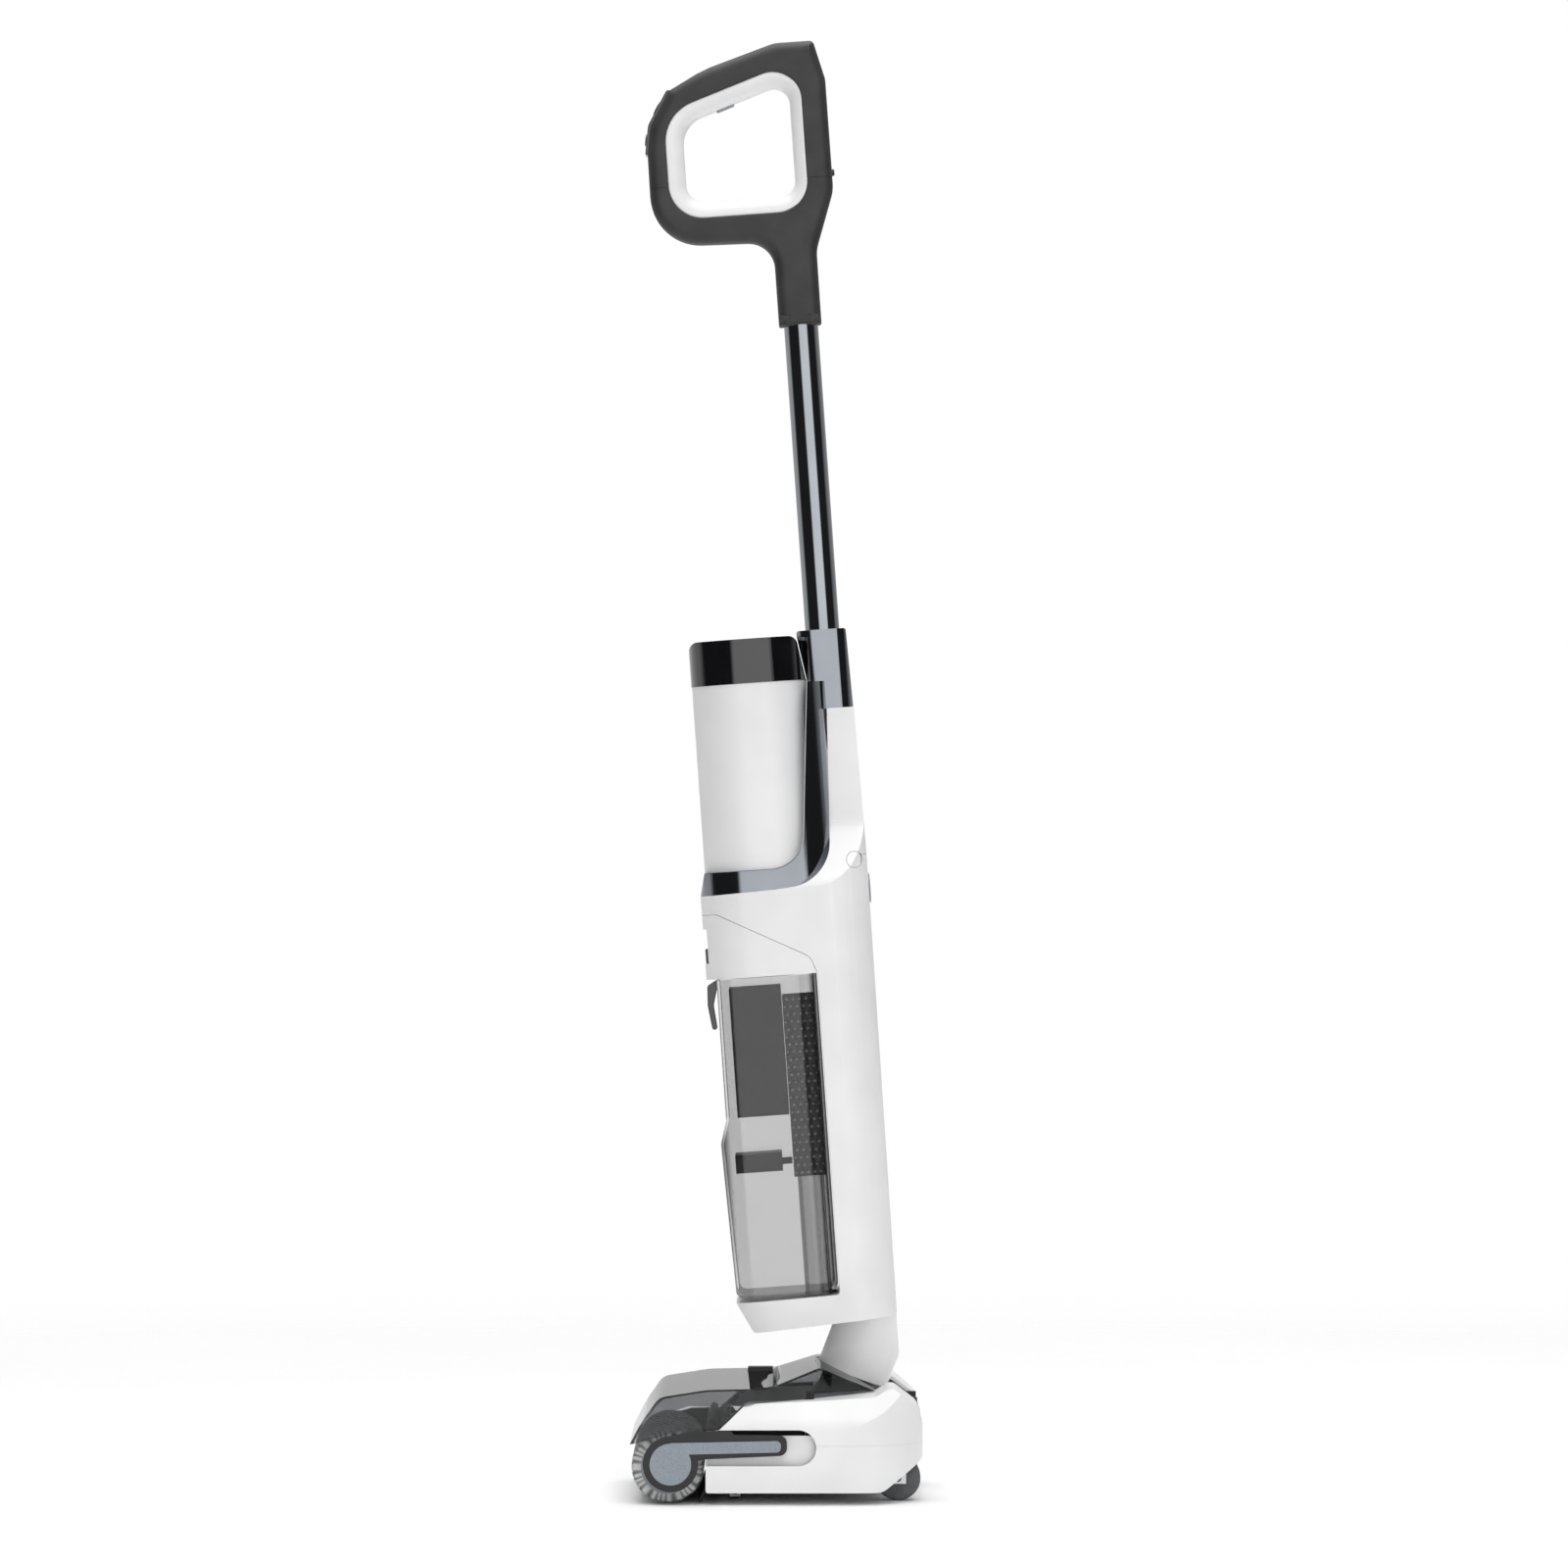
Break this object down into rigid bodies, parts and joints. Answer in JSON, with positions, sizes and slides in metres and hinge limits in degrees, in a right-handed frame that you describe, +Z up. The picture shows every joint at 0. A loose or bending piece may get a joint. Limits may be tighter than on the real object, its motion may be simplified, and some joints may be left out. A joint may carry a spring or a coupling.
{
  "type": "floor washer",
  "caption": "Upright wet and dry floor washer: roller base on wheels, swivelling neck, removable clean and dirty water tanks, pole and loop grip with buttons.",
  "frame": {"origin": "on the floor, under the middle of the whole machine's box", "axes": "+Z up, -Y towards the roller end (front), +X to the machine's right as seen from its front"},
  "size_m": [0.2524, 0.2196, 1.1006],
  "materials": {
    "casing_white": "smooth satin white",
    "grip_dark": "fine matt soft touch",
    "trim_chrome": "polished",
    "trim_dark_chrome": "polished dark plating",
    "gloss_black": "piano black",
    "smoked_clear": "clear smoked plastic",
    "inlay_grey": "satin",
    "soft_rubber": "matt",
    "roller_pile": "cut pile",
    "steel": "brushed",
    "inner_black": "satin",
    "board_green": "solder mask",
    "cell_wrap": "shrink wrap",
    "filter_paper": "pleated",
    "wheel_grey": "satin"
  },
  "bodies": {
    "base": {"base_lower_shell": "casing_white", "base_upper_shell": "casing_white", "base_screws": "steel", "hinge_cradle": "inner_black", "hinge_pins": "steel", "suction_duct": "inner_black", "squeegee": "soft_rubber", "slot_liners": "casing_white", "spray_bar": "inner_black", "belt_cover": "inner_black", "roller_motor": "steel", "drive_belt": "soft_rubber"},
    "knuckle_joint": {"knuckle": "inner_black"},
    "upright": {"neck_shell": "casing_white", "body_shell_left": "casing_white", "body_shell_right": "casing_white", "rear_bay_liner": "inner_black", "inner_ducts": "inner_black", "circuit_boards": "board_green", "water_pump": "inner_black", "duct_seals": "soft_rubber", "cradle_trim": "trim_dark_chrome", "motor_housing": "casing_white", "display_cap": "gloss_black", "motor_frame": "steel", "battery_cells": "cell_wrap", "pole": "trim_chrome", "grip_arch_left": "grip_dark", "grip_arch_right": "grip_dark", "grip_stem": "grip_dark", "grip_ring": "casing_white", "button_panel": "gloss_black", "rear_strip": "gloss_black"},
    "fan": {"impeller": "inner_black"},
    "dirty_water_tank": {"dirty_tank": "smoked_clear", "tank_grip": "gloss_black", "inlet_pipe": "smoked_clear", "tank_lid": "casing_white", "pleated_filter": "filter_paper"},
    "strainer": {"debris_strainer": "inner_black", "air_guide": "inner_black"},
    "latch": {"tank_latch": "gloss_black"},
    "float": {"tank_float": "inner_black"},
    "clean_water_tank": {"clean_tank": "casing_white"},
    "filler": {"filler_cap": "inlay_grey"},
    "release": {"tank_release": "casing_white"},
    "power": {"power_button": "gloss_black"},
    "clean": {"clean_button": "gloss_black"},
    "mode": {"mode_key": "inlay_grey"},
    "rear_key": {"rear_button": "grip_dark"},
    "cover": {"roller_cover": "smoked_clear"},
    "cover_button": {"cover_latch": "inner_black"},
    "roller": {"roller_core": "inlay_grey", "roller_pile": "roller_pile", "roller_pulley": "inlay_grey"},
    "motor_drive": {"motor_pulley": "steel"},
    "cap": {"end_cap": "inner_black", "end_cap_insert": "inlay_grey"},
    "rear_wheel_set": {"rear_wheels": "wheel_grey"},
    "front_wheel_set": {"front_wheels": "wheel_grey"}
  },
  "joints": [
    {"name": "recline", "type": "hinge", "parent": "base", "child": "knuckle_joint", "pos_m": [0, 0.046, 0.065], "axis": [-1, 0, 0], "range_deg": [0, 68]},
    {"name": "swivel", "type": "hinge", "parent": "knuckle_joint", "child": "upright", "pos_m": [0, 0.046, 0.065], "axis": [0, 0.3559, 0.9345], "range_deg": [-25, 25]},
    {"name": "impeller_spin", "type": "hinge", "parent": "upright", "child": "fan", "pos_m": [0, -0.02126, 0.49514], "axis": [0, -0.0698, 0.9976], "continuous": true},
    {"name": "dirty_tank_out", "type": "slide", "parent": "upright", "child": "dirty_water_tank", "axis": [0, -0.9976, -0.0698], "range_m": [0, 0.16]},
    {"name": "strainer_lift", "type": "slide", "parent": "dirty_water_tank", "child": "strainer", "axis": [0, -0.0698, 0.9976], "range_m": [0, 0.002]},
    {"name": "lid_latch", "type": "slide", "parent": "dirty_water_tank", "child": "latch", "axis": [0, -0.0698, 0.9976], "range_m": [0, 0.0015], "stiffness_N_per_m": 400},
    {"name": "float_rise", "type": "slide", "parent": "dirty_water_tank", "child": "float", "axis": [0, -0.0698, 0.9976], "range_m": [0, 0.02]},
    {"name": "clean_tank_out", "type": "slide", "parent": "upright", "child": "clean_water_tank", "axis": [0, 0.9976, 0.0698], "range_m": [0, 0.06]},
    {"name": "filler_cap_out", "type": "slide", "parent": "clean_water_tank", "child": "filler", "axis": [0, 0.9976, 0.0698], "range_m": [0, 0.012]},
    {"name": "tank_release_press", "type": "slide", "parent": "upright", "child": "release", "axis": [-1, 0, 0], "range_m": [0, 0.002], "stiffness_N_per_m": 400},
    {"name": "power_press", "type": "slide", "parent": "upright", "child": "power", "axis": [0, 0.887, -0.4617], "range_m": [0, 0.0015], "stiffness_N_per_m": 400},
    {"name": "clean_press", "type": "slide", "parent": "upright", "child": "clean", "axis": [0, 0.9954, -0.0958], "range_m": [0, 0.0015], "stiffness_N_per_m": 400},
    {"name": "mode_press", "type": "slide", "parent": "upright", "child": "mode", "axis": [0, -0.3795, 0.9252], "range_m": [0, 0.0012], "stiffness_N_per_m": 400},
    {"name": "rear_press", "type": "slide", "parent": "upright", "child": "rear_key", "axis": [0, -0.9976, -0.0698], "range_m": [0, 0.0015], "stiffness_N_per_m": 400},
    {"name": "cover_off", "type": "slide", "parent": "base", "child": "cover", "axis": [0, -0.9781, 0.2079], "range_m": [0, 0.12]},
    {"name": "cover_latch_press", "type": "slide", "parent": "cover", "child": "cover_button", "axis": [0, 0, -1], "range_m": [0, 0.002], "stiffness_N_per_m": 400},
    {"name": "roller_spin", "type": "hinge", "parent": "base", "child": "roller", "pos_m": [0, -0.0834, 0.0275], "axis": [1, 0, 0], "continuous": true},
    {"name": "motor_pulley_spin", "type": "hinge", "parent": "base", "child": "motor_drive", "pos_m": [0, -0.028, 0.032], "axis": [1, 0, 0], "continuous": true},
    {"name": "end_cap_pull", "type": "slide", "parent": "base", "child": "cap", "axis": [1, 0, 0], "range_m": [0, 0.03]},
    {"name": "rear_wheels_spin", "type": "hinge", "parent": "base", "child": "rear_wheel_set", "pos_m": [0, 0.0888, 0.017], "axis": [1, 0, 0], "continuous": true},
    {"name": "front_wheels_spin", "type": "hinge", "parent": "base", "child": "front_wheel_set", "pos_m": [0, -0.0333, 0.0065], "axis": [1, 0, 0], "continuous": true}
  ],
  "couplings": [
    {"joint": "motor_pulley_spin", "follows": "roller_spin", "ratio": 2.1667}
  ]
}
